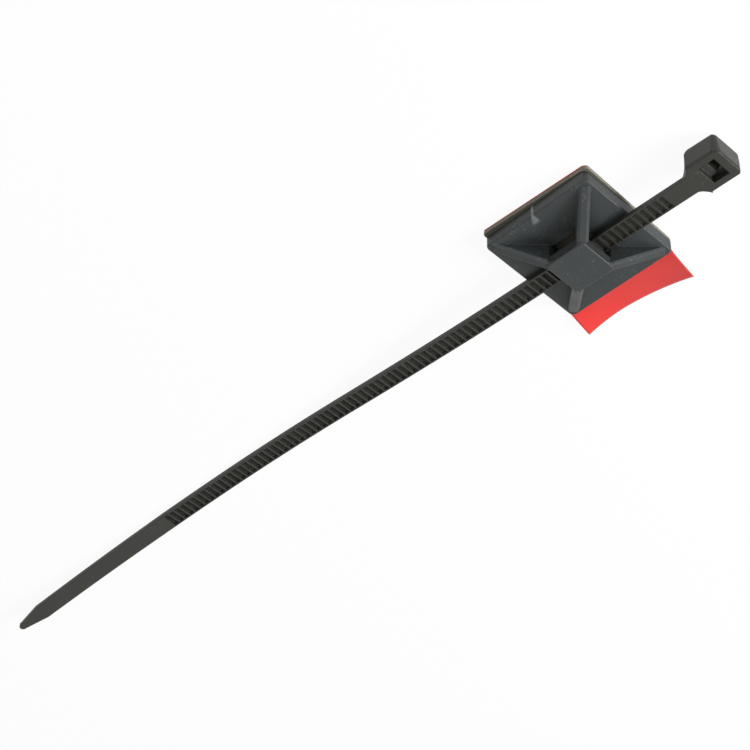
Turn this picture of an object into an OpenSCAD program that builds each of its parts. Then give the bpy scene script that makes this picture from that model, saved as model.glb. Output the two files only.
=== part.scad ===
// Four-way adhesive mount with a nylon cable tie threaded under its bridge.
// The origin is the centre of the base, on the underside of the release liner.
// +Z points away from the surface that the mount sticks to, and +X along the
// tie towards its head. All sizes are in millimetres and all angles in degrees.

/* [Base plate] */
// Side of the square base
base_w = 28.4; // [24:0.2:36]
// Height of the base's wall
base_h = 3; // [2:0.1:4]
// Radius of the base's upright corners
base_corner_r = 1.2; // [0.8:0.1:3]
// Bevel round the base's top edge
base_bevel = 0.35; // [0.1:0.05:0.8]
// Side of the square core window under the bridge
window_w = 9.4; // [6:0.1:9.6]
// Radius of the core window's corners
window_corner_r = 0.8; // [0.2:0.1:2]

/* [Bridge and ribs] */
// Side of the square bridge deck
deck_w = 10.6; // [9.8:0.1:13]
// Thickness of the bridge deck
deck_t = 2.4; // [1.6:0.1:3]
// Bevel round the deck's top edge
deck_bevel = 0.3; // [0.1:0.05:0.6]
// Radius of the deck's upright corners
deck_corner_r = 0.9; // [0.5:0.1:1.4]
// Width of each of the two crossing tie passages
passage_w = 7.4; // [7:0.1:8]
// Clear height of the tie passages
passage_h = 3.36; // [2.4:0.02:5]
// Width of each diagonal rib
rib_w = 2.6; // [1.8:0.1:3]
// Chamfer along both top edges of a rib
rib_chamfer = 0.6; // [0.2:0.05:0.8]
// Distance from the base's sharp corner to the rib's toe, along the diagonal
rib_toe_inset = 1.9; // [1.8:0.1:4]
// Height of the rib's toe above the base
rib_toe_h = 0.3; // [0.1:0.05:0.8]
// Step from the deck's top down to the top of a rib at the deck's corner
rib_step = 0.4; // [0.2:0.05:1]

/* [Foam pad] */
// Side of the square foam pad
foam_w = 28.7; // [23:0.1:36]
// Thickness of the foam pad
foam_t = 1.08; // [0.5:0.02:2]
// Radius of the foam pad's corners
foam_corner_r = 0.9; // [0.3:0.1:2]
// Angle by which the pad was stuck on askew
foam_turn = -1.6; // [-3:0.05:3]
// Sideways offset of the pad's centre
foam_shift_x = 0.05; // [-1:0.01:1]
// Offset of the pad's centre towards the untabbed side
foam_shift_y = 0.55; // [-1:0.01:1]

/* [Release liner] */
// Width of the liner film
liner_w = 28; // [23:0.1:36]
// Thickness of the liner film
liner_t = 0.12; // [0.1:0.01:0.2]
// How far the liner's pull tab reaches past the base's edge
tab_reach = 9.1; // [4:0.1:14]
// Angle by which the liner was laid on askew
liner_turn = -4.3; // [-6:0.1:6]
// How far the liner peeps out past the base on its untabbed side
liner_peep = 0.8; // [0:0.05:1.5]
// Angle by which its untabbed end was cut off square
liner_skew = 3; // [-5:0.1:5]
// Sideways offset of the liner
liner_shift_x = 0.6; // [-1:0.05:1]
// Height to which the tab's outer corners curl up
tab_curl = 2.2; // [0:0.1:3]

/* [Tie strap] */
// Width of the strap
strap_w = 4.7; // [4:0.1:5]
// Thickness of the strap
strap_t = 1.19; // [0.9:0.01:1.4]
// Gap between the strap and the passage's side that it lies over to
strap_side_gap = 0.37; // [0.2:0.01:0.8]
// Gap between the strap and the base's edge that it rests over
strap_seat_gap = 0.05; // [0.02:0.01:0.2]
// Angle of the strap to the passage, seen from above
strap_turn = 0.22; // [-0.5:0.02:0.5]
// Length of the strap from the mount's centre to the tail's tip
tail_reach = 185.5; // [150:0.5:240]
// Width to which the tail narrows before its pointed end
tail_w = 4.35; // [3.6:0.05:4.7]
// Thickness to which the tail thins towards its tip
tail_t = 1.1; // [0.8:0.01:1.2]
// Length of the pointed end of the tail
tip_taper = 8; // [4:0.5:12]
// Radius of the tail's blunt tip
tip_r = 0.9; // [0.4:0.1:1.5]
// Distance from the mount's centre to the point where the tail touches down
touch_down = 113; // [90:1:130]
// Gap left under the tail where it touches down, and under the head
rest_gap = 0.03; // [0.01:0.01:0.1]

/* [Tie teeth] */
// Tooth pitch
tooth_pitch = 1.8; // [1.4:0.05:2.4]
// Depth of the teeth
tooth_depth = 0.4; // [0.25:0.05:0.6]
// Length of the crest between two teeth
tooth_crest = 0.45; // [0.3:0.05:0.7]
// Length of the flat floor at the foot of each tooth
tooth_floor = 0.4; // [0.2:0.05:0.6]
// Width of the smooth rail on each side of the teeth
rail_w = 0.4; // [0.25:0.05:0.8]
// Where the toothed stretch ends, on the head's side of the mount
teeth_to_head = 23.8; // [18:0.1:26]
// Where the toothed stretch ends, on the tail's side of the mount
teeth_to_tail = 131; // [100:1:140]

/* [Tie head] */
// Distance from the mount's centre to the head's far end
head_reach = 40; // [38:0.1:44]
// Length of the head along the strap
head_l = 8.2; // [7:0.1:9]
// Width of the head at the strap's level
head_w = 9; // [8:0.1:10]
// Height of the head, from the strap's toothed face down
head_h = 6.3; // [5:0.1:7]
// How much each side of the head leans in towards its underside
head_draft = 0.1; // [0.1:0.05:0.8]
// How much the head's far end leans in towards its underside
head_end_lean = 0.5; // [0.1:0.05:1]
// Length of the flare from the strap to the head
neck_flare = 2.4; // [1.5:0.1:3]
// Length by which the head's near face slopes under the neck
head_slope_l = 1.8; // [1:0.1:3.5]
// Radius of the head's corners, seen from above
head_corner_r = 1.8; // [0.4:0.1:2]
// Radius of the head's lower edges
head_edge_r = 1.2; // [0.3:0.1:1.4]
// Inset of the bevel round the head's slotted face
head_rim = 0.35; // [0.1:0.05:0.6]
// Height of the bevel round the head's slotted face
head_rim_h = 0.6; // [0.1:0.05:1]
// Wall between the slot and the head's far end
slot_far_wall = 2.2; // [1.4:0.1:2.4]
// Length of the slot along the strap
slot_l = 4.1; // [3.6:0.1:4.4]
// Extra width of the slot over the strap that enters it
slot_play = 0.5; // [0.3:0.1:0.8]
// Width of the pawl
pawl_w = 3.6; // [2.6:0.1:4]
// Gap between the pawl's tip and the slot's far wall
pawl_gap = 1; // [0.7:0.05:1.1]

/* [Hidden] */
$fn = 48;
eps = 0.01;
over = 1;              // how far a cutter runs past what it cuts
quarters = [0, 90, 180, 270];

foam_z = liner_t;
base_z = foam_z + foam_t;
base_top = base_z + base_h;
deck_under = base_top + passage_h;
deck_top = deck_under + deck_t;

// Ribs run along the base's diagonals
rib_toe_r = base_w / 2 * sqrt(2) - rib_toe_inset;
rib_head_r = (deck_w / 2 - deck_corner_r) * sqrt(2) + deck_corner_r;
rib_head_z = deck_top - rib_step;
rib_rise = rib_head_z - base_top - rib_toe_h;
rib_run = rib_toe_r - rib_head_r;
rib_angle = atan(rib_rise / rib_run);

// The strap is straight from the head over the base, and rests on one edge of it.
// Its path is given for its toothed face, by its distance from the mount's centre.
seat_z = base_top + strap_seat_gap + strap_t;
head_near = head_reach - head_l;
head_face_z = head_h + rest_gap;
seat_x = head_face_z >= seat_z ? -base_w / 2 : base_w / 2;
head_rise = atan((head_face_z - seat_z) / (head_near - seat_x));
face_z = seat_z - seat_x * tan(head_rise);
strap_y = -(passage_w / 2 - strap_w / 2 - strap_side_gap);
teeth_w = strap_w - 2 * rail_w;

// Slope of the tail at marks along it, before it is scaled to touch down.
// Each stretch between two marks is an arc that runs on smoothly into the next.
// A mark before the touch-down is a share of the way to it, and the mark after
// it is a share of the way on to the tip.
tip_slope = -4;
rising_slope = -2.8;
rising_share = 0.65;
steep_slope = 3.9;
steep_share = 0.62;
first_slope = 2.9;
first_share = 0.35;
straight_to = base_w / 2 + 1;
function tail_slopes(k) = [
    [-tail_reach, k * tip_slope],
    [-touch_down - (tail_reach - touch_down) * rising_share, k * rising_slope],
    [-touch_down, 0],
    [-touch_down * steep_share, k * steep_slope],
    [-touch_down * first_share, k * first_slope],
    [-straight_to, head_rise]
];
path_step = 0.5;
function path_with(slopes) = [
    for (s = 0, x = 0, z = face_z; s >= -tail_reach - path_step;
         x = x - path_step * cos(lookup(s - path_step / 2, slopes)),
         z = z - path_step * sin(lookup(s - path_step / 2, slopes)),
         s = s - path_step)
    [s, x, z]
];
function height_at(s, path) = lookup(s, [for (p = path) [p[0], p[2]]]);
// The tail's height falls in proportion to k, so two trial paths give the right k
touch_z = strap_t + rest_gap;
low_level = height_at(-touch_down, path_with(tail_slopes(0)));
low_unit = height_at(-touch_down, path_with(tail_slopes(1)));
sag = (touch_z - low_level) / (low_unit - low_level);
slopes = tail_slopes(sag);
path = path_with(slopes);
path_x = [for (p = path) [p[0], p[1]]];
path_z = [for (p = path) [p[0], p[2]]];

// Slope of the strap at a distance s from the mount's centre
function slope(s) = s >= -straight_to ? head_rise : lookup(s, slopes);
// Point at a distance s along the toothed face, and raised square to it by up
function along(s, up = 0) =
    let (a = slope(s))
    [(s >= 0 ? s * cos(a) : lookup(s, path_x)) - up * sin(a),
     (s >= 0 ? face_z + s * sin(a) : lookup(s, path_z)) + up * cos(a)];

// Corner of radius r round the point c, from angle a0 to a1
function arc(c, r, a0, a1, n = 6) =
    [for (i = [0 : n]) let (a = a0 + (a1 - a0) * i / n) [c[0] + r * cos(a), c[1] + r * sin(a)]];

// Square plate with round upright corners and a bevel round its top
module bevelled_plate(w, h, r, b) {
    side = [[-w / 2, 0], [w / 2, 0], [w / 2, h - b], [w / 2 - b, h], [b - w / 2, h], [-w / 2, h - b]];
    for (turn = [0, 90])
        rotate([0, 0, turn])
            rotate([90, 0, 0])
                linear_extrude(height = w - 2 * r, center = true)
                    polygon(side);
    for (sx = [-1, 1], sy = [-1, 1])
        translate([sx * (w / 2 - r), sy * (w / 2 - r), 0])
            rotate_extrude()
                polygon([[0, 0], [r, 0], [r, h - b], [r - b, h], [0, h]]);
}

// Square of side w with round corners
module rounded_square(w, r) {
    for (turn = [0, 90])
        rotate(turn)
            square([w, w - 2 * r], center = true);
    for (sx = [-1, 1], sy = [-1, 1])
        translate([sx * (w / 2 - r), sy * (w / 2 - r)])
            circle(r);
}

// Extrudes a side view, given in X and Z, by w across the tie
module across(w) {
    rotate([90, 0, 0])
        linear_extrude(height = w, center = true)
            children();
}

// One diagonal rib: a chamfered bar that climbs from its toe to the deck's corner
module rib() {
    bar_l = rib_run / cos(rib_angle) + rib_w;
    section = [
        [0, rib_chamfer - rib_w / 2],
        [0, rib_w / 2 - rib_chamfer],
        [-rib_chamfer, rib_w / 2],
        [-deck_top, rib_w / 2],
        [-deck_top, -rib_w / 2],
        [-rib_chamfer, -rib_w / 2]
    ];
    intersection() {
        translate([rib_toe_r, 0, base_top + rib_toe_h])
            rotate([0, rib_angle, 0])
                translate([-bar_l, 0, 0])
                    rotate([90, 0, 90])
                        linear_extrude(height = bar_l + over)
                            polygon([for (p = section) [p[1], p[0]]]);
        across(rib_w)
            polygon([
                [0, base_top - base_bevel],
                [rib_toe_r, base_top - base_bevel],
                [rib_toe_r, deck_top],
                [0, deck_top]
            ]);
        translate([0, -rib_w / 2, 0])
            cube([rib_toe_r, rib_w, rib_head_z]);
    }
}

// The mount: one moulding with its base, four ribs and bridge deck
module mount_body() {
    color("#2f3232")
        difference() {
            union() {
                translate([0, 0, base_z])
                    bevelled_plate(base_w, base_h, base_corner_r, base_bevel);
                for (turn = quarters)
                    rotate([0, 0, turn + 45])
                        rib();
                translate([0, 0, deck_under])
                    bevelled_plate(deck_w, deck_t, deck_corner_r, deck_bevel);
                // Legs that carry the deck's four corners
                translate([0, 0, base_top - eps])
                    linear_extrude(height = passage_h + 2 * eps)
                        rounded_square(deck_w, deck_corner_r);
            }
            // Two tie passages cross under the deck
            for (turn = [0, 90])
                rotate([0, 0, turn])
                    translate([-base_w / 2, -passage_w / 2, base_top])
                        cube([base_w, passage_w, passage_h]);
            // The core window opens the base under the deck
            translate([0, 0, base_z - over])
                linear_extrude(height = base_h + over + eps)
                    rounded_square(window_w, window_corner_r);
        }
}

// The double-sided foam pad, stuck on a little askew
module foam_pad() {
    color("#8c887c")
        translate([foam_shift_x, foam_shift_y, foam_z])
            rotate([0, 0, foam_turn])
                linear_extrude(height = foam_t)
                    rounded_square(foam_w, foam_corner_r);
}

// The liner film lies flat under the pad, and its free tab curls up at the corners.
// The film's length is measured from its untabbed end, and the pad's furthest corner
// says how much of it stays flat.
liner_l = base_w + liner_peep + tab_reach;
film_to_pad = (foam_shift_x - liner_shift_x) * sin(liner_turn)
    + (base_w / 2 + liner_peep - foam_shift_y) * cos(liner_turn);
pad_turn = foam_turn - liner_turn;
pad_reach = foam_w / 2 * (cos(pad_turn) + abs(sin(pad_turn)));
lift_clear = 0.05;           // how far past the pad's furthest corner the film begins to lift
tab_free = liner_l - film_to_pad - pad_reach - lift_clear;
tab_still_u = -0.18;         // where across the film it stays down, as a share of half its width
curl_cells = 14;
tab_rows = [0, 0.1, 0.25, 0.45, 0.7, 1];
function film_lift(u, v) =
    let (side = u < tab_still_u ? 1 + tab_still_u : 1 - tab_still_u)
    tab_curl * sqrt(v) * pow(abs(u - tab_still_u) / side, 2);
function film_row(y, v, z, skew = 0) = [
    for (i = [0 : curl_cells])
    let (u = 2 * i / curl_cells - 1, x = u * liner_w / 2)
    [x, y + x * tan(skew), z + film_lift(u, v)]
];
// Film rows from the untabbed end to the tab's outer edge, for the face at height z
function film_rows(z) = concat(
    [film_row(0, 0, z, liner_skew)],
    [for (v = tab_rows) film_row(-(liner_l - tab_free) - v * tab_free, v, z)]
);

module release_liner() {
    cols = curl_cells + 1;
    rows = len(tab_rows) + 1;
    under = [for (row = film_rows(0)) each row];
    upper = [for (row = film_rows(liner_t)) each row];
    n = cols * rows;
    faces = concat(
        [for (j = [0 : rows - 2], i = [0 : cols - 2])
            let (a = j * cols + i) each [[a, a + 1, a + cols + 1], [a, a + cols + 1, a + cols]]],
        [for (j = [0 : rows - 2], i = [0 : cols - 2])
            let (a = n + j * cols + i) each [[a, a + cols + 1, a + 1], [a, a + cols, a + cols + 1]]],
        [for (i = [0 : cols - 2], end = [0, 1])
            let (a = end * (rows - 1) * cols + i, b = a + 1)
            end == 0 ? [a, n + a, n + b, b] : [a, b, n + b, n + a]],
        [for (j = [0 : rows - 2], end = [0, 1])
            let (a = j * cols + end * (cols - 1), b = a + cols)
            end == 0 ? [a, b, n + b, n + a] : [a, n + a, n + b, b]]
    );
    color("#d8302c")
        translate([liner_shift_x, base_w / 2 + liner_peep, 0])
            rotate([0, 0, liner_turn])
                polyhedron(points = concat(under, upper), faces = faces);
}

// Side view of the strap and the head, seen along Y
strap_steps = 90;
head_under_near = head_near + head_slope_l - neck_flare;
function thickness(s) = lookup(s, [[-tail_reach, tail_t], [-teeth_to_tail, strap_t]]);
module tie_side_view() {
    stations = [for (i = [0 : strap_steps]) -tail_reach + tail_reach * i / strap_steps];
    face = [for (s = stations) along(s)];
    underside = [for (i = [strap_steps : -1 : 0]) along(stations[i], -thickness(stations[i]))];
    round_far = head_reach - head_end_lean - head_edge_r;
    round_near = head_under_near + head_edge_r;
    lower_edges = concat(
        arc([round_far, head_edge_r - head_h], head_edge_r, 0, -90),
        arc([round_near, head_edge_r - head_h], head_edge_r, -90, -160)
    );
    head = concat(
        [along(head_reach - head_rim), along(head_reach, -head_rim_h)],
        [for (point = lower_edges) along(point[0], point[1])],
        [along(head_near - neck_flare, -strap_t)]
    );
    polygon(concat(face, head, underside));
}

// View of the strap and the head from above
module tie_top_view() {
    tip_x = along(-tail_reach)[0];
    full_x = along(-teeth_to_tail)[0];
    near_x = along(head_near)[0];
    far_x = along(head_reach)[0];
    half = strap_w / 2;
    head_half = head_w / 2;
    lean = 90 - atan((tail_w / 2 - tip_r) / tip_taper);
    tip = arc([tip_x + tip_r, 0], tip_r, 180, lean, 8);
    flare = [for (i = [0 : 8]) let (t = i / 8)
        [near_x - neck_flare * (1 - t), half + (head_half - half) * (1 - cos(90 * t)) ]];
    corner = arc([far_x - head_corner_r, head_half - head_corner_r], head_corner_r, 90, 0);
    side = concat(tip, [[tip_x + tip_taper, tail_w / 2], [full_x, half]], flare, corner);
    polygon(concat(side, [for (i = [len(side) - 1 : -1 : 1]) [side[i][0], -side[i][1]]]));
}

// View of the head along the tie, up from its slotted face: bevelled at the top,
// with sides that lean in and round lower edges
module head_end_view() {
    low = head_w / 2 - head_draft;
    rim = head_w / 2 - head_rim;
    half = concat(
        [[rim, over], [rim, 0], [head_w / 2, -head_rim_h]],
        arc([low - head_edge_r, head_edge_r - head_h], head_edge_r, 0, -90)
    );
    polygon(concat(half, [for (i = [len(half) - 1 : -1 : 0]) [-half[i][0], half[i][1]]]));
}

// Side view of the cutter that leaves the teeth: steep towards the head, and
// sloping towards the tail, so that a pawl slides over them one way only
tooth_lift = 0.1;
module teeth_cutter_view() {
    count = round((teeth_to_head + teeth_to_tail) / tooth_pitch);
    ramp_end = tooth_pitch - tooth_crest;
    ramp_l = ramp_end - tooth_floor;
    teeth = [
        for (i = [0 : count - 1])
        let (s = teeth_to_head - (count - i) * tooth_pitch + tooth_crest)
        each [
            along(s, tooth_lift),
            along(s + tooth_lift, -tooth_depth),
            along(s + tooth_floor, -tooth_depth),
            along(s + ramp_end + ramp_l * tooth_lift / tooth_depth - tooth_lift, tooth_lift)
        ]
    ];
    cap = [for (i = [0 : count])
        along(teeth_to_head + tooth_pitch - i * (tooth_pitch * (count + 2) / count), over)];
    polygon(concat(teeth, cap));
}

// The pawl: a tongue that hangs from the slot's near wall and leans towards its
// exit, with two teeth at its tip. Each point of its outline is given as a share of
// the way from the near wall to the tip, and a share of the head's height.
slot_far = head_reach - slot_far_wall;
slot_near = slot_far - slot_l;
pawl_root = 0.3;             // how deep the tongue is rooted in the slot's near wall
pawl_outline = [
    [0, 0.2], [0.46, 0.24], [0.87, 0.52], [1, 0.58], [0.84, 0.64],
    [0.95, 0.72], [0.6, 0.78], [0.26, 0.55], [0, 0.45]
];
module pawl_view() {
    reach = slot_l - pawl_gap;
    root = [for (point = [pawl_outline[len(pawl_outline) - 1], pawl_outline[0]])
        along(slot_near - pawl_root, -point[1] * head_h)];
    polygon(concat(root, [for (point = pawl_outline)
        along(slot_near + point[0] * reach, -point[1] * head_h)]));
}

// The tie: head, pawl and toothed strap in one moulding
clear_z = face_z + base_w;   // a height that the whole tie stays under
module cable_tie() {
    color("#272724")
        translate([0, strap_y, 0])
            rotate([0, 0, strap_turn]) {
                difference() {
                    intersection() {
                        across(head_w)
                            tie_side_view();
                        linear_extrude(height = clear_z)
                            tie_top_view();
                        union() {
                            translate([0, 0, face_z])
                                rotate([0, -head_rise, 0])
                                    rotate([90, 0, 90])
                                        linear_extrude(height = head_reach + over)
                                            head_end_view();
                            translate([-tail_reach - over, -strap_w, -over])
                                cube([tail_reach + head_near + over, strap_w * 2, clear_z]);
                        }
                    }
                    across(teeth_w)
                        teeth_cutter_view();
                    translate([0, 0, -over])
                        across(strap_w + slot_play)
                            polygon([
                                along(slot_near, -head_h - over),
                                along(slot_far, -head_h - over),
                                along(slot_far, 3 * over),
                                along(slot_near, 3 * over)
                            ]);
                }
                across(pawl_w)
                    pawl_view();
            }
}

mount_body();
foam_pad();
release_liner();
cable_tie();
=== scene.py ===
# %% [markdown]
# # A four-way adhesive mount with a nylon tie through it
#
# The part is a square nylon base with a raised bridge. A foam pad on its underside
# sticks it to a panel, a red film keeps that pad clean until it is used, and a toothed
# tie lies threaded under the bridge. The CAD model already has every piece at its real
# size and place. This notebook gives the pieces their looks: the small radii that a
# mould leaves, the teeth of the tie, the cells of the foam, the gloss of the film, and
# the plastics themselves. All lengths are metres, as Blender's own units are.

# %% Load the frame
import math

import bmesh
import bpy
import numpy as np
from mathutils import Matrix, Vector, noise
from mathutils.bvhtree import BVHTree


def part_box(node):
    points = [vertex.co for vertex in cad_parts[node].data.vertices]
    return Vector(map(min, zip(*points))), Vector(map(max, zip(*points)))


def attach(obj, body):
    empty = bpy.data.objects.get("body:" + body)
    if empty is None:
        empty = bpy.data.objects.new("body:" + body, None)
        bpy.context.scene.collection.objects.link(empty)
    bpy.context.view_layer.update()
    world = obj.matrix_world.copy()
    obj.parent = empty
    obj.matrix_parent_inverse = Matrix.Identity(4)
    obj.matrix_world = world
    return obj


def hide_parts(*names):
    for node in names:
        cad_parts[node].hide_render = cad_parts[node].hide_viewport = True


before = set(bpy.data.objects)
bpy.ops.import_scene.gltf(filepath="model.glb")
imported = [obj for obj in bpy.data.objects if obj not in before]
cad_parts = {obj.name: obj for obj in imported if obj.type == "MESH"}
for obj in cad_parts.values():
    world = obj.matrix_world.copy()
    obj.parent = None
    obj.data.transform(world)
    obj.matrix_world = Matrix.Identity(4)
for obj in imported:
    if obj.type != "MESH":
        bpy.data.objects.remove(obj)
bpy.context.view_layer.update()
MM = 0.001

# %% [markdown]
# ## The camera comes first
#
# A small part looks right when the lens is long and stands well back, because near and
# far edges then keep nearly the same scale. This one looks down at the part at about 44
# degrees, from the side of the tie's head. It is rolled half a turn about its own axis,
# so that the tie runs up to the right and the face that sticks to the panel is turned
# away at the top.

# %% The camera
EYE = Vector((236.68, 296.38, 411.41)) * MM
AIM = Vector((-61.08, -0.42, 0)) * MM
ROLL = math.radians(-178.824)
LENS_MM = 125.25

camera = bpy.data.objects.new("camera", bpy.data.cameras.new("camera"))
camera.data.lens = LENS_MM
camera.data.sensor_width = 36
camera.data.clip_start = 0.02
camera.data.clip_end = 20
aim_turn = (AIM - EYE).to_track_quat("-Z", "Y").to_matrix().to_4x4()
camera.matrix_world = Matrix.Translation(EYE) @ aim_turn @ Matrix.Rotation(ROLL, 4, "Z")
bpy.context.scene.collection.objects.link(camera)
bpy.context.scene.camera = camera
print("camera stands off by", round((AIM - EYE).length, 3), "m")

# %% [markdown]
# ## Two helpers for node trees
#
# Colours are given as hex values, which are sRGB, while shaders reckon in linear
# light, so one function turns the first into the second. Materials and Geometry Nodes
# are both trees of nodes, so one function that adds a node, with its settings, its
# numbers and its links, serves for both.

# %% Colour and node helpers
MIX_A, MIX_B, MIXED = 6, 7, 2     # the Mix node's sockets for colours


def colour(hex_code):
    """Linear RGBA of an sRGB hex colour."""
    channels = [int(hex_code[i:i + 2], 16) / 255 for i in (1, 3, 5)]
    linear = [c / 12.92 if c <= 0.04045 else ((c + 0.055) / 1.055) ** 2.4 for c in channels]
    return (*linear, 1.0)


def add(tree, kind, inputs=None, **settings):
    """Adds a node. inputs maps a socket's name or number to a value or to another socket."""
    node = tree.nodes.new(kind)
    for name, value in settings.items():
        setattr(node, name, value)
    for socket, value in (inputs or {}).items():
        if isinstance(value, bpy.types.NodeSocket):
            tree.links.new(value, node.inputs[socket])
        else:
            node.inputs[socket].default_value = value
    return node


def new_material(name):
    """An empty material, its tree, its shader and its object coordinates."""
    material = bpy.data.materials.new(name)
    material.use_nodes = True
    tree = material.node_tree
    place = add(tree, "ShaderNodeTexCoord").outputs["Object"]
    return material, tree, tree.nodes["Principled BSDF"], place


# %% [markdown]
# ## Nylon 6/6, injection moulded in a spark-eroded tool
#
# Both the mount and the tie are black nylon. Nylon is a little waxy: its index of
# refraction is about 1.53, and its shine is broad rather than sharp, because the tool's
# spark-eroded walls print a fine grain on it. The grain is really about 0.05 mm. Here it
# is drawn at 0.25 mm so that it still shows. A slow mottle stands for the way that the
# shine and the blackness drift where the melt cooled at different speeds. Black parts
# also show every speck of pale dust, and dust gathers in drifts, so fine noise makes the
# specks and coarse noise says where they lie.

# %% The moulded nylon
NYLON_IOR = 1.53
SATIN = 0.35                  # specular level: the grain swallows part of the shine
SHINE_DRIFT = 0.05            # how far the roughness drifts to either side
RELIEF = 0.02 * MM            # depth of the grain
SPECK = 0.55 * MM             # distance between specks
SPECK_BAND = (0.56, 0.74)     # the noise values over which a speck fades in
DRIFT = 5 * MM                # size of the drifts of dust
DRIFT_BAND = (0.48, 0.6)


def moulded_nylon(name, dark, light, dusty, mottle, roughness, grain):
    """Nylon that drifts from dark to light over patches of size mottle, with dusty specks."""
    material, tree, shader, place = new_material(name)
    patches = add(tree, "ShaderNodeTexNoise", {
        "Vector": place, "Scale": 1 / mottle, "Detail": 3.0, "Roughness": 0.55})
    blend = add(tree, "ShaderNodeMix", {
        "Factor": patches.outputs["Fac"], MIX_A: colour(dark), MIX_B: colour(light)},
        data_type="RGBA").outputs[MIXED]
    specks = add(tree, "ShaderNodeTexNoise", {
        "Vector": place, "Scale": 1 / SPECK, "Detail": 1.0, "Roughness": 0.5})
    dust = add(tree, "ShaderNodeMapRange", {
        "Value": specks.outputs["Fac"], "From Min": SPECK_BAND[0], "From Max": SPECK_BAND[1]})
    drifts = add(tree, "ShaderNodeTexNoise", {
        "Vector": place, "Scale": 1 / DRIFT, "Detail": 1.0})
    where = add(tree, "ShaderNodeMapRange", {
        "Value": drifts.outputs["Fac"], "From Min": DRIFT_BAND[0], "From Max": DRIFT_BAND[1]})
    gathered = add(tree, "ShaderNodeMath", {
        0: dust.outputs["Result"], 1: where.outputs["Result"]}, operation="MULTIPLY")
    blend = add(tree, "ShaderNodeMix", {
        "Factor": gathered.outputs[0], MIX_A: blend, MIX_B: colour(dusty)},
        data_type="RGBA").outputs[MIXED]
    shine = add(tree, "ShaderNodeMapRange", {
        "Value": patches.outputs["Fac"], "From Min": 0.3, "From Max": 0.7,
        "To Min": roughness - SHINE_DRIFT, "To Max": roughness + SHINE_DRIFT})
    pits = add(tree, "ShaderNodeTexNoise", {
        "Vector": place, "Scale": 1 / grain, "Detail": 2.0, "Roughness": 0.6})
    bump = add(tree, "ShaderNodeBump", {
        "Height": pits.outputs["Fac"], "Strength": 0.35, "Distance": RELIEF})
    tree.links.new(blend, shader.inputs["Base Color"])
    tree.links.new(shine.outputs["Result"], shader.inputs["Roughness"])
    tree.links.new(bump.outputs["Normal"], shader.inputs["Normal"])
    shader.inputs["IOR"].default_value = NYLON_IOR
    shader.inputs["Specular IOR Level"].default_value = SATIN
    return material, tree, shader, blend


tie_nylon = moulded_nylon("tie_nylon_66_moulded", "#22221d", "#2a2924", "#3c3b36",
                          mottle=9 * MM, roughness=0.42, grain=0.22 * MM)[0]
print("material:", tie_nylon.name)

# %% [markdown]
# ## The mount's nylon, with its gate mark
#
# The mount is the same resin in a cooler black. The melt enters the mould at the middle
# of one wall, and where the gate is broken off it leaves a pale, stress-whitened smear
# that fans out over the edge. A decal would need an image, so it is painted in the
# material: one soft mask across the smear, which leans and widens as it runs inwards,
# one along it, and some noise to fray it.

# %% The mount's nylon
mount_nylon, tree, shader, blend = moulded_nylon(
    "mount_nylon_66_moulded", "#2b2f2f", "#333737", "#454a49",
    mottle=6 * MM, roughness=0.46, grain=0.25 * MM)
place = tree.nodes["Texture Coordinate"].outputs["Object"]
print("material:", mount_nylon.name)

# %% The gate mark on it
GATE_X = -0.7 * MM            # where the gate was, along the wall
GATE_HALF = 0.45 * MM         # half the smear's width at the wall
GATE_FLARE = 0.42             # how much that grows for each step inwards
GATE_LEAN = -0.35             # how much the smear moves aside for each step inwards
GATE_REACH = 2.7 * MM         # how far in it ends
GATE_PALEST = 0.6             # the share of that reach at which it starts to fade
FRAY = 0.8 * MM
wall_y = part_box("mount_body")[1].y

axes = add(tree, "ShaderNodeSeparateXYZ", {"Vector": place})
inward = add(tree, "ShaderNodeMath", {0: wall_y, 1: axes.outputs["Y"]}, operation="SUBTRACT")
lean = add(tree, "ShaderNodeMath", {
    0: inward.outputs[0], 1: GATE_LEAN, 2: GATE_X}, operation="MULTIPLY_ADD")
aside = add(tree, "ShaderNodeMath", {0: axes.outputs["X"], 1: lean.outputs[0]},
            operation="SUBTRACT")
width = add(tree, "ShaderNodeMath", {0: inward.outputs[0], 1: GATE_FLARE, 2: GATE_HALF},
            operation="MULTIPLY_ADD")
share = add(tree, "ShaderNodeMath", {0: aside.outputs[0], 1: width.outputs[0]},
            operation="DIVIDE")
across = add(tree, "ShaderNodeMath", {0: share.outputs[0]}, operation="ABSOLUTE")
across_mask = add(tree, "ShaderNodeMapRange", {
    "Value": across.outputs[0], "From Min": 1.0, "From Max": 0.3, "To Min": 0.0, "To Max": 1.0})
inward_mask = add(tree, "ShaderNodeMapRange", {
    "Value": inward.outputs[0], "From Min": GATE_REACH, "From Max": GATE_PALEST * GATE_REACH,
    "To Min": 0.0, "To Max": 1.0})
fray = add(tree, "ShaderNodeTexNoise", {"Vector": place, "Scale": 1 / FRAY, "Detail": 3.0})
fray_mask = add(tree, "ShaderNodeMapRange", {
    "Value": fray.outputs["Fac"], "From Min": 0.35, "From Max": 0.6,
    "To Min": 0.55, "To Max": 1.0})
both = add(tree, "ShaderNodeMath", {0: across_mask.outputs[0], 1: inward_mask.outputs[0]},
           operation="MULTIPLY")
smear = add(tree, "ShaderNodeMath", {0: both.outputs[0], 1: fray_mask.outputs[0]},
            operation="MULTIPLY")
whitened = add(tree, "ShaderNodeMix", {
    "Factor": smear.outputs[0], MIX_A: blend, MIX_B: colour("#7c8080")}, data_type="RGBA")
tree.links.new(whitened.outputs[MIXED], shader.inputs["Base Color"])
print("gate mark at x =", round(GATE_X / MM, 2), "mm, reaching in by",
      round(GATE_REACH / MM, 2), "mm")
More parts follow.
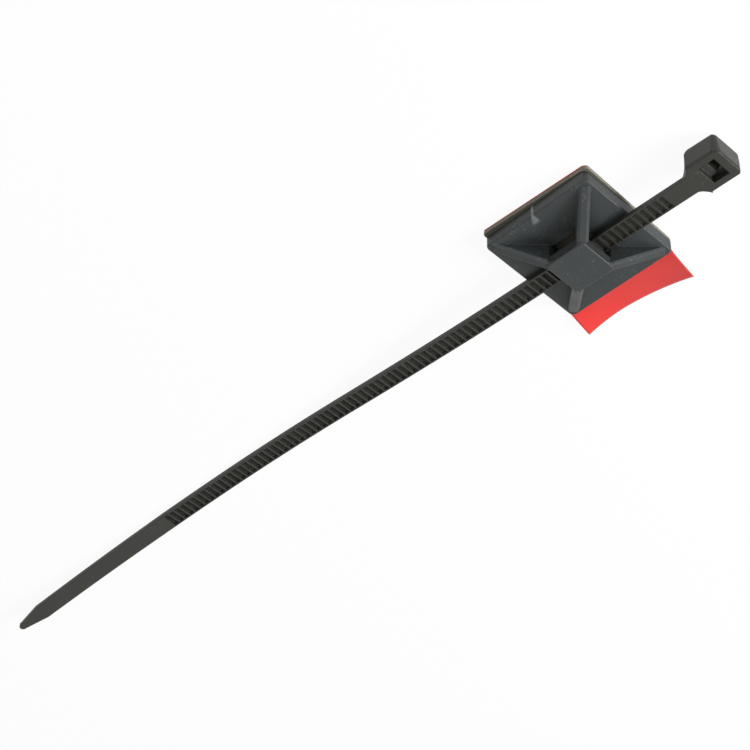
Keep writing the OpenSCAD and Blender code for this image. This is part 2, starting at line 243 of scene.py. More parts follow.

# %% [markdown]
# ## Polyethylene foam, cut with a knife
#
# The pad is closed-cell polyethylene foam, cut from a sheet. A cut edge shows the walls of
# the cells, about 0.3 mm across, as a pitted, chalky grey. Voronoi cells give such
# pits. Just under the base a thin darker line is painted in. It is painted shade, where
# the crease between the pad and the base lies in shade.

# %% The foam's material
CELL = 0.3 * MM
SHADE_DEPTH = 0.09 * MM              # depth of the painted shade under the base
foam_low, foam_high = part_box("foam_pad")

foam_pe, tree, shader, place = new_material("foam_polyethylene_cut")
cells = add(tree, "ShaderNodeTexVoronoi", {"Vector": place, "Scale": 1 / CELL})
tint = add(tree, "ShaderNodeMix", {
    "Factor": cells.outputs["Distance"], MIX_A: colour("#8e8b7f"), MIX_B: colour("#68655a")},
    data_type="RGBA")
height = add(tree, "ShaderNodeSeparateXYZ", {"Vector": place}).outputs["Z"]
# Painted shade: the top of the pad's edge is darkened, standing in for the shade in the crease
# under the base.
painted_shade_mask = add(tree, "ShaderNodeMapRange", {
    "Value": height, "From Min": foam_high.z - SHADE_DEPTH, "From Max": foam_high.z - 0.4 * SHADE_DEPTH,
    "To Min": 0.0, "To Max": 1.0})
shaded_foam = add(tree, "ShaderNodeMix", {
    "Factor": painted_shade_mask.outputs[0], MIX_A: tint.outputs[MIXED], MIX_B: colour("#5b584e")},
    data_type="RGBA")
pits = add(tree, "ShaderNodeBump", {
    "Height": cells.outputs["Distance"], "Strength": 0.8, "Distance": 0.08 * MM},
    invert=True)
tree.links.new(shaded_foam.outputs[MIXED], shader.inputs["Base Color"])
tree.links.new(pits.outputs["Normal"], shader.inputs["Normal"])
shader.inputs["Roughness"].default_value = 0.92
shader.inputs["IOR"].default_value = 1.5
print("material:", foam_pe.name)

# %% [markdown]
# ## Polyester film with a silicone coat
#
# The release film is red polyester, cast smooth and coated with silicone so that the
# adhesive lets go of it. It mirrors lamps in soft streaks, which a thin clear coat over
# a glossy base gives. Its red is a little cloudy, and shallow bumps make the streaks
# waver as they do on any thin film.

# %% The film's material
CLOUD = 7 * MM
WAVER = 2.5 * MM

film_pet, tree, shader, place = new_material("release_film_polyester_silicone")
cloud = add(tree, "ShaderNodeTexNoise", {"Vector": place, "Scale": 1 / CLOUD, "Detail": 4.0})
red = add(tree, "ShaderNodeMix", {
    "Factor": cloud.outputs["Fac"], MIX_A: colour("#d5201c"), MIX_B: colour("#e0322a")},
    data_type="RGBA")
waver = add(tree, "ShaderNodeTexNoise", {"Vector": place, "Scale": 1 / WAVER, "Detail": 1.0})
bump = add(tree, "ShaderNodeBump", {
    "Height": waver.outputs["Fac"], "Strength": 0.25, "Distance": 0.05 * MM})
tree.links.new(red.outputs[MIXED], shader.inputs["Base Color"])
tree.links.new(bump.outputs["Normal"], shader.inputs["Normal"])
shader.inputs["Roughness"].default_value = 0.32
shader.inputs["IOR"].default_value = 1.55
shader.inputs["Coat Weight"].default_value = 0.15
shader.inputs["Coat Roughness"].default_value = 0.18
print("material:", film_pet.name)

# %% [markdown]
# ## From a CAD body to a moulded one
#
# A CAD body arrives as loose triangles with perfectly sharp edges. A real moulding has no
# such edge: every one has a small radius, and that radius is what catches the light and
# tells the eye how big the part is. So a copy is made, its triangles are merged into
# clean faces, and its edges are bevelled. A Bevel modifier would do the same, but here
# the edges have to be chosen by where they are.

# %% A clean copy and its rounded edges
def clean_copy(node, weld=0.002 * MM, flat=math.radians(0.04)):
    """A bmesh of a CAD node, with its triangles merged into whole faces."""
    bm = bmesh.new()
    bm.from_mesh(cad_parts[node].data)
    bmesh.ops.remove_doubles(bm, verts=bm.verts, dist=weld)
    bmesh.ops.dissolve_limit(bm, angle_limit=flat, verts=bm.verts, edges=bm.edges,
                             use_dissolve_boundaries=False)
    return bm


def sharp_edges(bm, angle, wanted=lambda edge: True):
    """The edges whose two faces meet at more than the angle."""
    return [e for e in bm.edges if e.is_manifold
            and e.calc_face_angle(0) > angle and wanted(e)]


def round_edges(bm, edges, radius, segments):
    """Bevels the edges by the radius."""
    bmesh.ops.bevel(bm, geom=edges, offset=radius, offset_type="OFFSET", segments=segments,
                    profile=0.5, affect="EDGES", clamp_overlap=False, loop_slide=True)


# %% [markdown]
# ## Corners that a bevel throws out
#
# Where two edges meet at almost no angle, a bevel can throw a corner far outside the
# body. Clamping the bevel would stop that, but it would also thin every other radius. So
# each corner is checked against the CAD surface, and one that lies outside it goes back
# to the nearest point on it.

# %% Putting strays back
STRAY = 0.06 * MM             # a corner nearer to the surface than this is no stray


def put_back_strays(bm, node):
    """Puts each corner that a bevel threw out of the CAD body back on its surface."""
    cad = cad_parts[node].data
    skin = BVHTree.FromPolygons([v.co for v in cad.vertices],
                                [p.vertices for p in cad.polygons])
    strays = 0
    for vertex in bm.verts:
        spot, _, _, distance = skin.find_nearest(vertex.co)
        if distance < STRAY:
            continue
        # At an edge two faces are equally near. Outside, the corner is in front of one.
        close_by = skin.find_nearest_range(vertex.co, distance * 1.001)
        in_front = max((vertex.co - near).dot(normal) for near, normal, _, _ in close_by)
        if in_front > STRAY / 4:
            vertex.co = spot
            strays += 1
    print(strays, "stray corners put back on", node)


# %% [markdown]
# ## From a bmesh to a piece that stands for its CAD node
#
# Each finished mesh becomes an object that rides on the body, replaces its CAD node and
# takes its material. Large flat faces get the say over the normals, so that only the
# rounded strips between them shade softly.

# %% A finished piece
CREASE = math.radians(50)     # two faces that meet at more than this stay sharp


def finished_piece(bm, name, material, node):
    """Makes the bmesh an object that rides on the body and stands for the CAD node."""
    mesh = bpy.data.meshes.new(name)
    bm.to_mesh(mesh)
    bm.free()
    mesh.polygons.foreach_set("use_smooth", [True] * len(mesh.polygons))
    mesh.set_sharp_from_angle(angle=CREASE)
    mesh.materials.append(material)
    piece = bpy.data.objects.new(name, mesh)
    bpy.context.scene.collection.objects.link(piece)
    evener = piece.modifiers.new("flat_faces_first", "WEIGHTED_NORMAL")
    evener.keep_sharp = True
    evener.weight = 100
    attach(piece, "root")
    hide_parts(node)
    print(name, "has", sum(len(p.vertices) - 2 for p in mesh.polygons), "triangles")
    return piece


# %% [markdown]
# ## The mount
#
# The base, the four ribs and the bridge are one moulding, so they are one piece. Its
# edges get a radius of about 0.12 mm, the inner corners too, because a mould can't have
# sharp ones either.

# %% The mount
MOULD_RADIUS = 0.12 * MM
MOULD_EDGE = math.radians(20)

body = clean_copy("mount_body", weld=0.02 * MM)
round_edges(body, sharp_edges(body, MOULD_EDGE), MOULD_RADIUS, 2)
put_back_strays(body, "mount_body")
finished_piece(body, "mount_moulding", mount_nylon, "mount_body")

# %% [markdown]
# ## The foam pad
#
# The pad is cut with a knife from soft sheet, so its edge isn't quite flat: it bellies
# out a little at half its height, and cells open along it. It is pressed flat between
# the base and the film, so only its four sides have any shape. They are divided finely
# and drawn in by noise, always inside the pad's own box. A cloth simulation would have
# nothing to move here.

# %% The foam pad
SIDE_CUTS = 110
HEIGHT_CUTS = 6
PULL_IN = 0.12 * MM           # how far the top and bottom edges are drawn in
ROUGH = 0.05 * MM             # depth of the open cells
WIDE_CELL, FINE_CELL = 0.6 * MM, 0.25 * MM

pad = clean_copy("foam_pad")
flat_faces = [f for f in pad.faces if abs(f.normal.z) > 0.9]
bmesh.ops.delete(pad, geom=flat_faces, context="FACES_ONLY")
sides = [e for e in pad.edges if e.calc_length() > 10 * MM]
bmesh.ops.subdivide_edges(pad, edges=sides, cuts=SIDE_CUTS, use_grid_fill=True)
upright = [e for e in pad.edges if abs(e.verts[0].co.z - e.verts[1].co.z) > 0.5 * MM]
bmesh.ops.subdivide_edges(pad, edges=upright, cuts=HEIGHT_CUTS, use_grid_fill=True)
pad.normal_update()
middle = (foam_low + foam_high) / 2
half_height = (foam_high.z - foam_low.z) / 2
for vertex in pad.verts:
    out = Vector((vertex.normal.x, vertex.normal.y, 0)).normalized()
    rise = (vertex.co.z - middle.z) / half_height
    wide = noise.noise(vertex.co / WIDE_CELL)
    fine = noise.noise(vertex.co / FINE_CELL)
    pit = 0.5 + 0.5 * wide + 0.25 * fine
    vertex.co -= out * (PULL_IN * rise ** 4 + ROUGH * max(pit, 0))
rims = [e for e in pad.edges if e.is_boundary]
bmesh.ops.holes_fill(pad, edges=rims, sides=0)
bmesh.ops.recalc_face_normals(pad, faces=pad.faces)
foam = finished_piece(pad, "foam_pad_cut", foam_pe, "foam_pad")

# %% [markdown]
# ## The release film, as a rule on a grid
#
# The film lies flat under the pad and is free beyond it. Film comes off a roll, so its
# free tab wants to curl: it stays down along one line and lifts with the square of the
# distance from that line, more the further it is from the pad. That is a rule, so it is
# written as one, in Geometry Nodes: a grid whose points are raised by a small formula,
# with the sizes as named inputs. The film was laid on a little askew and its far end was
# cut a little off square. Turned back by that angle, the CAD film gives its sizes.

# %% Where the film lies
def to_own_frame(points, turn):
    """Points in X and Y, turned back by the angle."""
    c, s = math.cos(turn), math.sin(turn)
    return np.asarray(points)[:, :2] @ np.array([[c, -s], [s, c]])


def points_of(node):
    """All the corners of a CAD node as an array."""
    return np.array([v.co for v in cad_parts[node].data.vertices])


FILM_TURN = math.radians(-4.3)
END_SKEW = math.tan(math.radians(3))
PEEP_LOSS = 0.12 * MM         # how much shorter the far end is than in CAD
SETBACK = 0.05 * MM           # the film leaves the pad this far before the pad's edge

film_cad = points_of("release_liner")
film_own = to_own_frame(film_cad, FILM_TURN)
film_low, film_high = film_own.min(0), film_own.max(0)
film_width = film_high[0] - film_low[0]
film_high[1] -= END_SKEW * film_width / 2 + PEEP_LOSS
film_length = film_high[1] - film_low[1]
film_level = min(z for z in film_cad[:, 2] if z > 0.01 * MM)
film_curl = film_cad[:, 2].max() - film_level
pad_end = to_own_frame(points_of("foam_pad"), FILM_TURN)[:, 1].min()
film_free = pad_end - SETBACK - film_low[1]
print("film:", round(film_width / MM, 2), "x", round(film_length / MM, 2), "mm with",
      round(film_free / MM, 2), "mm free")

# %% [markdown]
# ## Three helpers for Geometry Nodes
#
# A tree is opened with a named input for each size, and closed with Realize Instances
# and Set Material, because an exported model keeps no instances. Then a seed mesh grows
# through it once, and only the plain mesh that results is kept.

# %% Opening, closing and growing a tree
SOCKETS = {float: "NodeSocketFloat", int: "NodeSocketInt",
           bpy.types.Object: "NodeSocketObject", bpy.types.Material: "NodeSocketMaterial"}


def socket_kind(value):
    """The kind of socket that holds such a value."""
    return next(kind for held, kind in SOCKETS.items() if isinstance(value, held))


def new_tree(name, sizes):
    """A Geometry Nodes tree with a named input for each size, and its input node."""
    tree = bpy.data.node_groups.new(name, "GeometryNodeTree")
    tree.interface.new_socket("Geometry", in_out="INPUT", socket_type="NodeSocketGeometry")
    for label, value in sizes.items():
        tree.interface.new_socket(label, in_out="INPUT", socket_type=socket_kind(value))
    tree.interface.new_socket("Geometry", in_out="OUTPUT", socket_type="NodeSocketGeometry")
    return tree, tree.nodes.new("NodeGroupInput").outputs


def close_tree(tree, geometry, material):
    """Ends the tree: real geometry, not instances, in the given material."""
    real = add(tree, "GeometryNodeRealizeInstances", {"Geometry": geometry}).outputs[0]
    painted = add(tree, "GeometryNodeSetMaterial", {"Geometry": real, "Material": material})
    add(tree, "NodeGroupOutput", {"Geometry": painted.outputs[0]})


def grow(tree, seed, sizes):
    """The plain mesh that the tree makes from the seed mesh and the sizes."""
    holder = bpy.data.objects.new("seed", seed)
    bpy.context.scene.collection.objects.link(holder)
    modifier = holder.modifiers.new("grow", "NODES")
    modifier.node_group = tree
    for item in tree.interface.items_tree:
        if item.in_out == "INPUT" and item.name in sizes:
            modifier[item.identifier] = sizes[item.name]
    depsgraph = bpy.context.evaluated_depsgraph_get()
    mesh = bpy.data.meshes.new_from_object(holder.evaluated_get(depsgraph))
    bpy.data.objects.remove(holder)
    return mesh


# %% [markdown]
# ## The formula of the curl
#
# Across the film, u runs from -1 to 1, and "Still" is the u of the line that stays down.
# Along it, v runs from 0 where the film leaves the pad to 1 at the tab's end. The lift
# is the square of the distance from the still line times the square root of v. The held
# end is sheared by "Skew", and its corner at u = 1 is drawn back by "Corner".

# %% The film's tree
ACROSS, ALONG = 57, 113       # the grid's points
CORNER_FROM = 0.92            # the u at which the drawn-back corner begins
RIPPLE_SIZE = 5 * MM
film_sizes = {"Width": float(film_width), "Length": float(film_length),
              "Free": float(film_free), "Curl": float(film_curl), "Still": -0.18,
              "Skew": END_SKEW, "Corner": 0.9 * MM, "Ripple": 0.03 * MM, "Plastic": film_pet}
tree, sizes = new_tree("curling_film", film_sizes)


def reckon(operation, *values):
    """One step of sums in the tree now being built."""
    return add(tree, "ShaderNodeMath", dict(enumerate(values)), operation=operation).outputs[0]


grid = add(tree, "GeometryNodeMeshGrid", {
    "Size X": sizes["Width"], "Size Y": sizes["Length"],
    "Vertices X": ACROSS, "Vertices Y": ALONG})
position = add(tree, "GeometryNodeInputPosition").outputs[0]
xyz = add(tree, "ShaderNodeSeparateXYZ", {0: position}).outputs
u = reckon("DIVIDE", reckon("MULTIPLY", xyz["X"], 2.0), sizes["Width"])
from_end = reckon("ADD", xyz["Y"], reckon("DIVIDE", sizes["Length"], 2.0))
v = reckon("MAXIMUM", reckon("SUBTRACT", 1.0, reckon("DIVIDE", from_end, sizes["Free"])), 0.0)
off = reckon("SUBTRACT", u, sizes["Still"])
reach = reckon("SUBTRACT", 1.0, reckon("MULTIPLY", sizes["Still"], reckon("SIGN", off)))
bend = reckon("POWER", reckon("ABSOLUTE", reckon("DIVIDE", off, reach)), 2.0)
lift = reckon("MULTIPLY", reckon("MULTIPLY", bend, reckon("SQRT", v)), sizes["Curl"])
waves = add(tree, "ShaderNodeTexNoise", {"Vector": position, "Scale": 1 / RIPPLE_SIZE})
ripple = reckon("MULTIPLY", reckon("MULTIPLY", waves.outputs["Fac"], v), sizes["Ripple"])
held = reckon("DIVIDE", reckon("MAXIMUM", reckon("SUBTRACT", from_end, sizes["Free"]), 0.0),
              reckon("SUBTRACT", sizes["Length"], sizes["Free"]))
near_corner = reckon("MAXIMUM", reckon("DIVIDE", reckon("SUBTRACT", u, CORNER_FROM),
                                       1 - CORNER_FROM), 0.0)
cut_off = reckon("MULTIPLY", reckon("POWER", near_corner, 2.0), sizes["Corner"])
slant = reckon("MULTIPLY", reckon("SUBTRACT", reckon("MULTIPLY", xyz["X"], sizes["Skew"]),
                                  cut_off), held)
raised = add(tree, "ShaderNodeCombineXYZ", {
    "Y": slant, "Z": reckon("ADD", lift, ripple)}).outputs[0]
curled = add(tree, "GeometryNodeSetPosition", {
    "Geometry": grid.outputs["Mesh"], "Offset": raised}).outputs[0]
close_tree(tree, curled, sizes["Plastic"])
print(tree.name, "has", len(tree.nodes), "nodes")

# %% [markdown]
# ## The film's two skins
#
# The grid lies just clear of the floor, and Solidify adds a second skin below it, on the
# floor. That makes the film thinner than its CAD body, whose 0.12 mm is about what such
# film has, but either one reads as a bare edge. A curled film has no large flat face, so
# the modifier that favours those is taken off it.

# %% The film
film_bm = bmesh.new()
film_bm.from_mesh(grow(tree, bpy.data.meshes.new("nothing"), film_sizes))
film_middle = (film_low + film_high) / 2
film_place = (Matrix.Rotation(FILM_TURN, 4, "Z")
              @ Matrix.Translation((*film_middle, film_level)))
film_bm.transform(film_place)
film = finished_piece(film_bm, "release_film", film_pet, "release_liner")
film.modifiers.remove(film.modifiers["flat_faces_first"])
thick = film.modifiers.new("second_skin", "SOLIDIFY")
thick.thickness = film_level
thick.offset = -1
print("the film's two skins are", round(film_level / MM, 3), "mm apart")

# %% [markdown]
# ## The tie: measure the strap first
#
# A tie is a strap with a head. Along most of it run teeth: pockets in the strap's face,
# each with one steep wall and one ramp, so that the pawl in the head slides over them
# one way and catches the other way. A narrow smooth rail is left on each side.
#
# The teeth repeat along a path, which is what Geometry Nodes are for. The path is
# measured on the CAD tie by casting rays at it: from both sides to find its middle line,
# then from above onto one rail to find its height all along.

# %% The strap's path
RAIL = 0.4 * MM
PITCH = 1.8 * MM
TEETH_TO_HEAD = 23.8 * MM
TEETH_TO_TAIL = 131 * MM
FAR = 0.05

tie_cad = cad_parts["cable_tie"].data
tie_tree = BVHTree.FromPolygons([v.co for v in tie_cad.vertices],
                                [p.vertices for p in tie_cad.polygons])


def height_at(x, y):
    """The height of the tie's upper face at a place."""
    return tie_tree.ray_cast(Vector((x, y, FAR)), Vector((0, 0, -1)))[0].z


def sides_at(x, y):
    """Where the strap's two sides are at x, half a millimetre under its face at y."""
    z = height_at(x, y) - 0.5 * MM
    left = tie_tree.ray_cast(Vector((x, FAR, z)), Vector((0, -1, 0)))[0].y
    right = tie_tree.ray_cast(Vector((x, -FAR, z)), Vector((0, 1, 0)))[0].y
    return left, right


tail_x, head_x = -100 * MM, 20 * MM
start_y = sum(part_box("cable_tie")[i].y for i in (0, 1)) / 2
tail_mid, head_mid = (sum(sides_at(x, start_y)) / 2 for x in (tail_x, head_x))
strap_turn = math.atan2(head_mid - tail_mid, head_x - tail_x)
strap_y = head_mid - head_x * math.tan(strap_turn)
half_width = (sides_at(head_x, start_y)[0] - head_mid) * math.cos(strap_turn)
strap_place = Matrix.Translation((0, strap_y, 0)) @ Matrix.Rotation(strap_turn, 4, "Z")
print("strap:", round(2 * half_width / MM, 3), "mm wide, middle at y =",
      round(strap_y / MM, 3), "mm, turned by", round(math.degrees(strap_turn), 3), "degrees")

# %% [markdown]
# ## Height and distance along the strap
#
# The teeth are equally far apart along the strap, which rises and falls, and not along
# X. So the measured heights are turned into a table of distance along the strap, with
# its zero at the mount's middle.

# %% Distance along the strap
along_x = np.arange(-140, 30, 0.5) * MM
rail_y = half_width - RAIL / 2
along_z = []
for x in along_x:
    spot = strap_place @ Vector((x, rail_y, 0))
    along_z.append(height_at(spot.x, spot.y))
steps = np.hypot(np.diff(along_x), np.diff(along_z))
along_s = np.concatenate([[0], np.cumsum(steps)])
along_s -= np.interp(0, along_x, along_s)


def path_point(s):
    """The point of the strap's face at a distance s from the mount's middle."""
    return Vector((np.interp(s, along_s, along_x), 0, np.interp(s, along_s, along_z)))


def path_direction(s, step=0.5 * MM):
    """The direction of the strap's face at that distance, towards the head."""
    return (path_point(s + step) - path_point(s - step)).normalized()


under = tie_tree.ray_cast(Vector((head_x, head_mid, -FAR)), Vector((0, 0, 1)))[0].z
rail_spot = strap_place @ Vector((head_x, rail_y, 0))
slope = path_direction(float(np.interp(head_x, along_x, along_s)))
strap_thick = (height_at(rail_spot.x, rail_spot.y) - under) * slope.x
teeth = round((TEETH_TO_HEAD + TEETH_TO_TAIL) / PITCH)
first_tooth = TEETH_TO_HEAD - teeth * PITCH
print("strap is", round(strap_thick / MM, 3), "mm thick and takes", teeth, "teeth")

# %% [markdown]
# ## One pitch of the strap
#
# One length of strap, exactly one pitch long, holds one pocket. Its two ends are open,
# so that a row of them welds into one closed skin. From the tail's end it has a flat
# crest, the steep wall that the pawl catches on, a flat floor, and the ramp. It is cut a
# little deeper than the CAD tooth, which keeps its floor as dark as a real one's.

# %% The unit mesh
DEPTH = 0.55 * MM
CREST = 0.35 * MM
FLOOR = 0.65 * MM

half = half_width
inner = half - RAIL
face_rows = [(x, y, 0) for x in (0, CREST, PITCH) for y in (-half, -inner, inner, half)]
pocket = [(x, y, -DEPTH) for x in (CREST, CREST + FLOOR) for y in (-inner, inner)]
base_rows = [(x, y, -strap_thick) for x in (0, PITCH) for y in (-half, -inner, inner, half)]
unit_faces = [
    (0, 4, 5, 1), (1, 5, 6, 2), (2, 6, 7, 3),          # crest
    (4, 8, 9, 5), (6, 10, 11, 7),                      # rails
    (5, 12, 13, 6), (12, 14, 15, 13), (14, 9, 10, 15),  # steep wall, floor, ramp
    (5, 9, 14, 12), (6, 13, 15, 10),                   # the pocket's sides
    (0, 16, 20, 8, 4), (3, 7, 11, 23, 19),             # the strap's sides
    (16, 17, 21, 20), (17, 18, 22, 21), (18, 19, 23, 22)]
unit_mesh = bpy.data.meshes.new("one_pitch")
unit_mesh.from_pydata(face_rows + pocket + base_rows, [], unit_faces)
one_pitch = bpy.data.objects.new("one_pitch", unit_mesh)
print("one pitch:", len(unit_mesh.polygons), "faces")

# %% [markdown]
# ## The row of teeth
#
# The tree turns the measured path into a curve, splits it into as many equal lengths as
# there are teeth, and puts one unit at the start of each. Each unit is turned along the
# line to the next start, so the ends meet. Merging by distance then welds the row.

# %% The teeth's tree
WELD = 0.01 * MM
row_sizes = {"Unit": one_pitch, "Teeth": teeth, "Weld": WELD, "Plastic": tie_nylon}
tree, sizes = new_tree("row_of_teeth", row_sizes)
curve = add(tree, "GeometryNodeMeshToCurve", {"Mesh": sizes["Geometry"]}).outputs[0]
stations = add(tree, "GeometryNodeResampleCurve", {
    "Curve": curve, "Count": reckon("ADD", sizes["Teeth"], 1.0)}, mode="COUNT").outputs[0]
position = add(tree, "GeometryNodeInputPosition").outputs[0]
index = add(tree, "GeometryNodeInputIndex").outputs[0]
following = add(tree, "GeometryNodeFieldAtIndex", {
    "Index": reckon("ADD", index, 1.0), "Value": position},
    data_type="FLOAT_VECTOR", domain="POINT").outputs[0]
chord = add(tree, "ShaderNodeVectorMath", {0: following, 1: position},
            operation="SUBTRACT").outputs[0]
turn = add(tree, "FunctionNodeAlignRotationToVector", {"Vector": chord},
           axis="X", pivot_axis="Y").outputs[0]
not_last = add(tree, "FunctionNodeCompare", {2: index, 3: sizes["Teeth"]},
               data_type="INT", operation="LESS_THAN").outputs[0]
unit = add(tree, "GeometryNodeObjectInfo", {"Object": sizes["Unit"]}).outputs["Geometry"]
row = add(tree, "GeometryNodeInstanceOnPoints", {
    "Points": stations, "Selection": not_last, "Instance": unit, "Rotation": turn}).outputs[0]
loose = add(tree, "GeometryNodeRealizeInstances", {"Geometry": row}).outputs[0]
welded = add(tree, "GeometryNodeMergeByDistance", {
    "Geometry": loose, "Distance": sizes["Weld"]}).outputs[0]
close_tree(tree, welded, sizes["Plastic"])
print(tree.name, "has", len(tree.nodes), "nodes")

# %% The toothed stretch
line_s = np.linspace(first_tooth, TEETH_TO_HEAD, 2 * teeth + 1)
line = bpy.data.meshes.new("toothed_stretch")
line.from_pydata([path_point(s) for s in line_s], [(i, i + 1) for i in range(2 * teeth)], [])
toothed = grow(tree, line, row_sizes)
bpy.data.objects.remove(one_pitch)
print("toothed stretch:", len(toothed.polygons), "faces in", teeth, "teeth")

# %% [markdown]
# ## Tail, teeth and head in one skin
#
# The tail and the head come from the CAD tie, cut where the teeth begin and end. Both
# are split along the rails too, so that their ends have the same corners as the toothed
# stretch. Welded together they make one closed skin. Its outer edges get a radius of
# 0.16 mm and the teeth one of 0.06 mm, and that small radius gives each steep wall the
# bright line that a real tie has.

# %% Cutting the CAD tie
def slice_across(bm, place, facing, **cleared):
    """Cuts every face by a plane. Both sides stay, unless one is to be cleared."""
    bmesh.ops.bisect_plane(bm, geom=bm.verts[:] + bm.edges[:] + bm.faces[:],
                           dist=0.001 * MM, plane_co=place, plane_no=facing, **cleared)


def part_of_tie(at, keep_head):
    """The CAD tie on one side of a cut across the strap, in the strap's own frame."""
    bm = clean_copy("cable_tie")
    bm.transform(strap_place.inverted())
    slice_across(bm, path_point(at), path_direction(at),
                 clear_inner=keep_head, clear_outer=not keep_head)
    for side in (-inner, inner):
        slice_across(bm, (0, side, 0), (0, 1, 0))
    return bm


def as_mesh(bm):
    """The bmesh as a mesh that another bmesh can take in."""
    mesh = bpy.data.meshes.new("part_of_tie")
    bm.to_mesh(mesh)
    bm.free()
    return mesh


# %% [markdown]
# ## The head in its own frame
#
# The strap rises a little towards the head, and the head is square to it. So the head is
# measured in a frame of its own: X along the strap, Z up out of its face, and the zero
# where the teeth end.

# %% The head's frame
head = part_of_tie(TEETH_TO_HEAD, True)
along = path_direction(TEETH_TO_HEAD + 1 * MM)
upward = Vector((-along.z, 0, along.x))
head_frame = Matrix.Translation(path_point(TEETH_TO_HEAD)) @ Matrix(
    (along, (0, 1, 0), upward)).transposed().to_4x4()
head.transform(head_frame.inverted())
head_low = min(v.co.z for v in head.verts)
head_far = max(v.co.x for v in head.verts)
head_half = max(v.co.y for v in head.verts)
print("head:", round(2 * head_half / MM, 2), "mm wide and", round(-head_low / MM, 2), "mm deep")

# %% [markdown]
# ## A head like a pebble
#
# The CAD head has round corners and round lower edges, but where three of them meet it
# still comes to a point. The real one is rounded there too, as if by a ball. So the head
# is cut into fine strips near its sides, and every corner that then lies outside the
# ball's sweep is drawn in to it. The slotted face keeps its outline.

# %% The rounded head
BALL = 1.4 * MM
STRIPS = 6
HEAD_LEAN = 0.5 * MM          # how far the far end leans in towards the underside
HEAD_FOOT = 8.4 * MM          # length of the underside, with the near end's slope
NECK_LEAN = 0.43              # slope of the near end, under the neck
SLIVER = 0.02 * MM            # edges shorter than this are closed up
head_near = head_far - HEAD_FOOT

for i in range(STRIPS):
    deep = BALL * (i + 0.5) / STRIPS
    slice_across(head, (head_far - deep, 0, 0), (1, 0, 0))
    slice_across(head, (head_near + deep, 0, head_low), (1, 0, NECK_LEAN))
    slice_across(head, (0, head_half - deep, 0), (0, 1, 0))
    slice_across(head, (0, deep - head_half, 0), (0, 1, 0))
    slice_across(head, (0, 0, head_low + deep), (0, 0, 1))
drawn_in = 0
for vertex in head.verts:
    x, y, z = vertex.co
    past_far = x - (head_far - HEAD_LEAN * z / head_low) + BALL
    past_near = head_near - NECK_LEAN * (z - head_low) + BALL - x
    past_side = abs(y) - head_half + BALL
    past_foot = head_low + BALL - z
    past = Vector((max(past_far, past_near, 0), max(past_side, 0), max(past_foot, 0)))
    under_strap = z < -strap_thick - 0.01 * MM
    if past.length > BALL and (under_strap or past_far > 0):
        back = past * (1 - BALL / past.length)
        toward = -1 if past_near > past_far else 1
        vertex.co -= Vector((toward * back.x, math.copysign(back.y, y), -back.z))
        drawn_in += 1
bmesh.ops.dissolve_degenerate(head, edges=head.edges, dist=SLIVER)
head.transform(head_frame)
print("the head's ball draws in", drawn_in, "corners")

# %% [markdown]
# ## Welding and rounding the tie
#
# Tail, teeth and head now share the corners where they meet, so one merge closes the
# skin. The pockets are rounded first, with the smaller radius, and then every other edge.

# %% The whole tie
whole = bmesh.new()
for mesh in (as_mesh(part_of_tie(first_tooth, False)), toothed, as_mesh(head)):
    whole.from_mesh(mesh)
bmesh.ops.remove_doubles(whole, verts=whole.verts, dist=WELD)
bmesh.ops.recalc_face_normals(whole, faces=whole.faces)
gaps = sum(e.is_boundary for e in whole.edges)
print("the tie's skin has", len(whole.faces), "faces and", gaps, "open edges")

# %% Its edges
ARRIS = 0.16 * MM
TOOTH_RADIUS = 0.06 * MM
TIE_EDGE = math.radians(35)
TOUCH = 0.01 * MM


def in_a_pocket(edge):
    """Whether an edge lies in the toothed stretch, between the rails."""
    middle = (edge.verts[0].co + edge.verts[1].co) / 2
    row_start, row_end = path_point(first_tooth).x, path_point(TEETH_TO_HEAD).x
    in_row = row_start - TOUCH < middle.x < row_end + TOUCH
    return in_row and abs(middle.y) < inner + TOUCH


def outside_pockets(edge):
    """Whether it is any other edge."""
    return not in_a_pocket(edge)


round_edges(whole, sharp_edges(whole, TIE_EDGE, in_a_pocket), TOOTH_RADIUS, 2)
round_edges(whole, sharp_edges(whole, TIE_EDGE, outside_pockets), ARRIS, 3)
whole.transform(strap_place)
put_back_strays(whole, "cable_tie")
finished_piece(whole, "tie_moulding", tie_nylon, "cable_tie")

# %% [markdown]
# ## A white floor that keeps a soft shadow
#
# The part stands on white. If lamps alone had to make the floor white, they would burn
# out the pale parts. So the floor gives its own light to the camera, and to whatever
# mirrors it, and only a small share of it is left to catch the part's shadow.

# %% Which rays see the white
def seen_directly(tree):
    """1 for rays from the camera and for rays that were mirrored or let through."""
    path = add(tree, "ShaderNodeLightPath").outputs
    mirrored = add(tree, "ShaderNodeMath", {
        0: path["Is Camera Ray"], 1: path["Is Glossy Ray"]}, operation="MAXIMUM").outputs[0]
    return add(tree, "ShaderNodeMath", {
        0: mirrored, 1: path["Is Transmission Ray"]}, operation="MAXIMUM").outputs[0]


# %% The floor
FLOOR_GLOW = 0.93             # the share of the floor's white that is its own light
FLOOR_REACH = 3.0
GAP_UNDER = 0.02 * MM         # keeps the film's underside from flickering in the floor

floor_paper = bpy.data.materials.new("floor_paper_white")
floor_paper.use_nodes = True
tree = floor_paper.node_tree
tree.nodes.clear()
paper = add(tree, "ShaderNodeBsdfDiffuse", {"Color": (0.9, 0.9, 0.9, 1)}).outputs[0]
glow = add(tree, "ShaderNodeEmission", {"Color": (1, 1, 1, 1), "Strength": 1.0}).outputs[0]
share = add(tree, "ShaderNodeMath", {0: seen_directly(tree), 1: FLOOR_GLOW},
            operation="MULTIPLY").outputs[0]
mixed = add(tree, "ShaderNodeMixShader", {0: share, 1: paper, 2: glow}).outputs[0]
add(tree, "ShaderNodeOutputMaterial", {"Surface": mixed})

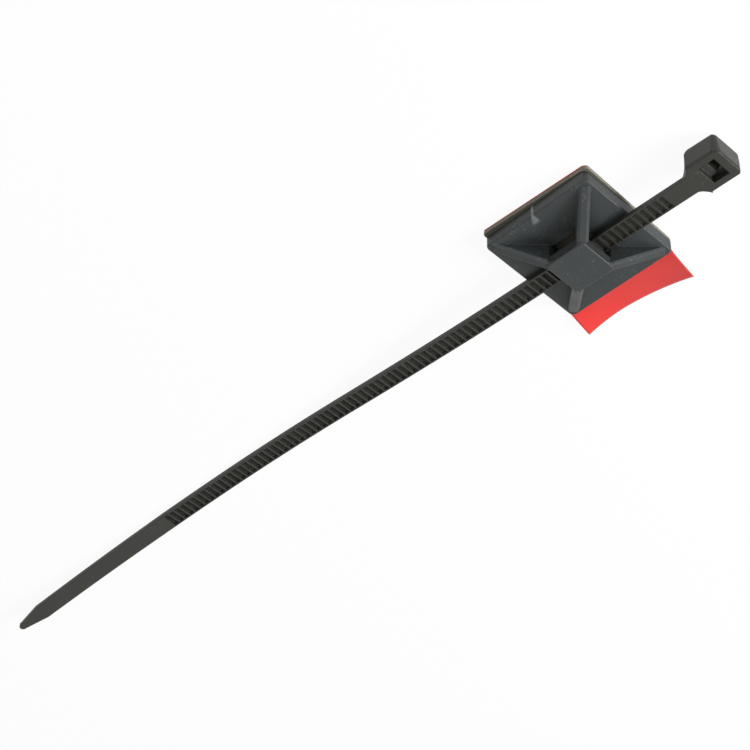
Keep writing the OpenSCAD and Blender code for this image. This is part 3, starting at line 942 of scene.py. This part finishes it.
floor_mesh = bpy.data.meshes.new("floor")
floor_corners = [(x * FLOOR_REACH, y * FLOOR_REACH, -GAP_UNDER)
                 for x, y in ((-1, -1), (1, -1), (1, 1), (-1, 1))]
floor_mesh.from_pydata(floor_corners, [], [(0, 1, 2, 3)])
floor_mesh.materials.append(floor_paper)
floor = bpy.data.objects.new("floor", floor_mesh)
bpy.context.scene.collection.objects.link(floor)
print("floor:", 2 * FLOOR_REACH, "m square, with", FLOOR_GLOW, "of its white its own")

# %% [markdown]
# ## A white room
#
# Above the floor the world is white too, where it is seen or mirrored. As a light it is
# much dimmer, or the black nylon would turn grey and the lamps would draw no shapes.

# %% The world
AMBIENT = 0.33
world = bpy.data.worlds.new("white_room")
world.use_nodes = True
bpy.context.scene.world = world
tree = world.node_tree
tree.nodes.clear()
extra = add(tree, "ShaderNodeMath", {0: seen_directly(tree), 1: 1 - AMBIENT, 2: AMBIENT},
            operation="MULTIPLY_ADD").outputs[0]
sky = add(tree, "ShaderNodeBackground", {"Color": (1, 1, 1, 1), "Strength": extra}).outputs[0]
add(tree, "ShaderNodeOutputWorld", {"Surface": sky})
print("the world lights the part at", AMBIENT)

# %% [markdown]
# ## Soft studio light
#
# The key lamp is a large soft box beyond the tie's head. It lights the wall and the rib
# chamfers that face it. Black nylon seen at a low angle mirrors a lamp far too well, so
# most of that light comes from a second box in the same place, which no face mirrors. A
# weak third one on the other side opens the shadows under the bridge.

# %% The lamps
KEY_PLACE = (0.48, -0.27, 0.32)


def soft_box(name, place, size, watts, mirrored=True):
    """A square lamp that faces the mount. Faces mirror it only if mirrored is true."""
    lamp = bpy.data.lights.new(name, "AREA")
    lamp.size = size
    lamp.energy = watts
    holder = bpy.data.objects.new(name, lamp)
    spot = Vector(place)
    turn = (-spot).to_track_quat("-Z", "Y").to_matrix().to_4x4()
    holder.matrix_world = Matrix.Translation(spot) @ turn
    holder.visible_glossy = mirrored
    bpy.context.scene.collection.objects.link(holder)
    print("lamp:", name, "at", round(spot.length, 2), "m with", watts, "W")


soft_box("key", KEY_PLACE, 0.3, 2.1)
soft_box("wash", KEY_PLACE, 0.3, 3.5, mirrored=False)
soft_box("fill", (0.05, 0.5, 0.5), 0.4, 0.8)

# %% [markdown]
# ## The end
#
# Last, the view transform is set to Standard.

# %% Finish
bpy.context.scene.view_settings.view_transform = "Standard"
